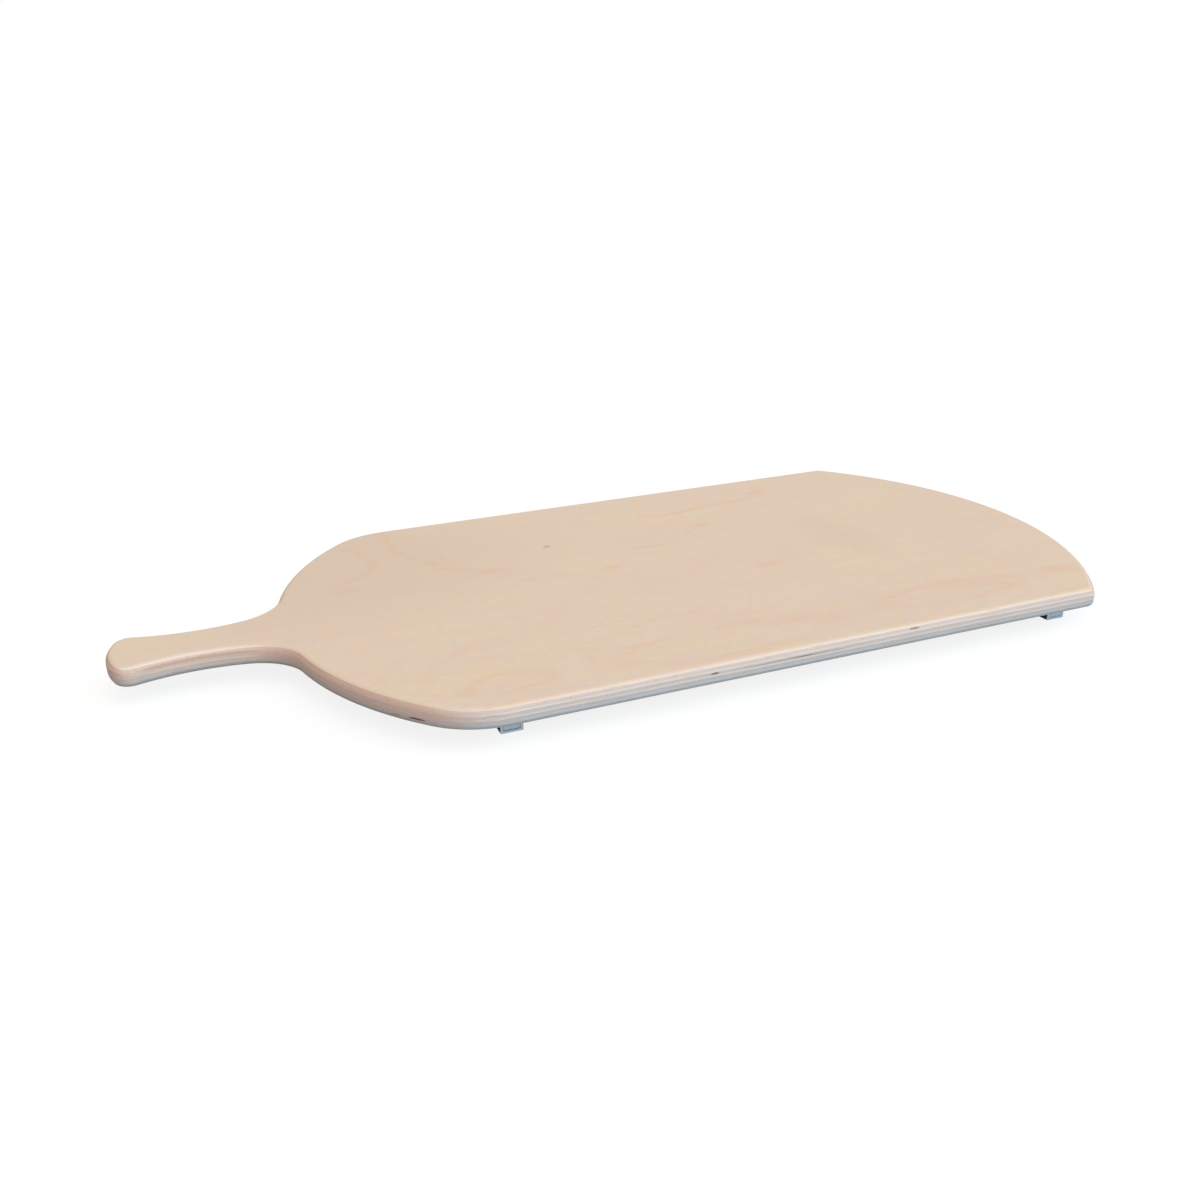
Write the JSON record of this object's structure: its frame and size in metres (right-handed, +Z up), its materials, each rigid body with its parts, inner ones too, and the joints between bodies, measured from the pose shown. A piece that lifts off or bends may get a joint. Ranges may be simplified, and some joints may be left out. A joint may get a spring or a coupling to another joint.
{
  "type": "pizza board",
  "caption": "Paddle-shaped birch plywood pizza board with a slim waisted handle, a curved far end and rounded-over edges, raised on square aluminium cross rails.",
  "frame": {"origin": "under the middle of the board's length and width, on the surface that the rails stand on", "axes": "+X along the board from the handle towards the round end, +Y across the board, +Z up out of the serving face"},
  "size_m": [0.591, 0.3, 0.0237],
  "materials": {
    "birch_face": "sanded pale birch veneer, unstained, faint figure and orange-pink flecks",
    "long_ply": "sanded ply edge, grain along the board, pale",
    "cross_ply": "sanded ply edge, grain across the board, darker at the long sides",
    "rail_aluminium": "satin anodised, blue-grey",
    "plug_plastic": "matte grey moulded plastic",
    "screw_steel": "zinc-plated steel"
  },
  "bodies": {
    "root": {"ply_1_top_face": "birch_face", "ply_2_cross": "cross_ply", "ply_3_long": "long_ply", "ply_4_cross": "cross_ply", "ply_5_core": "long_ply", "ply_6_cross": "cross_ply", "ply_7_long": "long_ply", "ply_8_cross": "cross_ply", "ply_9_bottom_face": "birch_face", "rail_handle_end": "rail_aluminium", "rail_round_end": "rail_aluminium", "plug_handle_end_near": "plug_plastic", "plug_handle_end_far": "plug_plastic", "plug_round_end_near": "plug_plastic", "plug_round_end_far": "plug_plastic", "screw_handle_end_near": "screw_steel", "screw_handle_end_middle": "screw_steel", "screw_handle_end_far": "screw_steel", "screw_round_end_near": "screw_steel", "screw_round_end_middle": "screw_steel", "screw_round_end_far": "screw_steel"}
  },
  "joints": []
}
